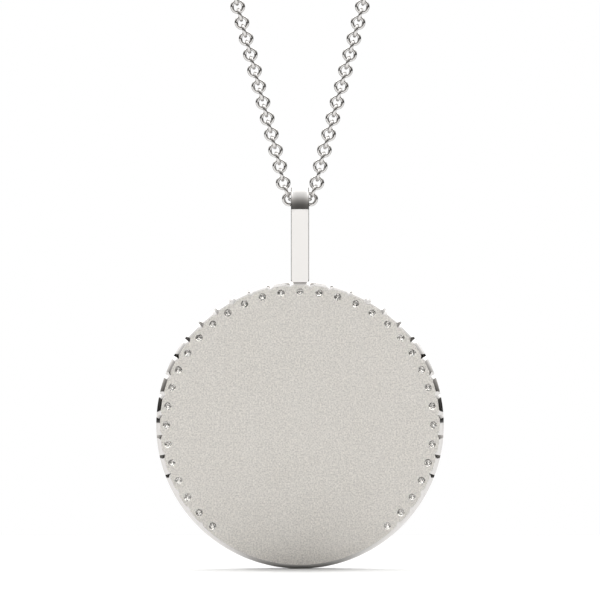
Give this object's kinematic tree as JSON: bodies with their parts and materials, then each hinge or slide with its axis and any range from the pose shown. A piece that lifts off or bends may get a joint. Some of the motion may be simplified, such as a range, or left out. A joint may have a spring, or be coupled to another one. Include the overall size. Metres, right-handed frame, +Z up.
{
  "type": "medallion pendant necklace",
  "caption": "Round satin medallion with stones round its rim, on a strap bail that swings on a fine round-link chain with a clasp.",
  "frame": {"origin": "lowest point of the clasp, at the top of the chain's loop, where it lies on the nape of the neck", "axes": "+Z up, the chain hanging in the XZ plane; -Y out of the satin back of the disc; +Y out of its stone-set front"},
  "size_m": [0.0832, 0.0054, 0.2275],
  "materials": {
    "casting": "white gold, sandblasted satin on the back face and polished elsewhere",
    "chain_metal": "polished white gold",
    "stone": "clear, brilliant cut"
  },
  "bodies": {
    "necklace": {"chain": "chain_metal", "clasp": "chain_metal"},
    "pendant": {"disc_with_bail": "casting", "stone_01": "stone", "stone_02": "stone", "stone_03": "stone", "stone_04": "stone", "stone_05": "stone", "stone_06": "stone", "stone_07": "stone", "stone_08": "stone", "stone_09": "stone", "stone_10": "stone", "stone_11": "stone", "stone_12": "stone", "stone_13": "stone", "stone_14": "stone", "stone_15": "stone", "stone_16": "stone", "stone_17": "stone", "stone_18": "stone", "stone_19": "stone", "stone_20": "stone", "stone_21": "stone", "stone_22": "stone", "stone_23": "stone", "stone_24": "stone", "stone_25": "stone", "stone_26": "stone", "stone_27": "stone", "stone_28": "stone", "stone_29": "stone", "stone_30": "stone", "stone_31": "stone", "stone_32": "stone", "stone_33": "stone", "stone_34": "stone", "stone_35": "stone"}
  },
  "joints": [
    {"name": "pendant_swing", "type": "hinge", "parent": "necklace", "child": "pendant", "pos_m": [0, 0, -0.19818], "axis": [1, 0, 0], "range_deg": [-60, 60]}
  ]
}
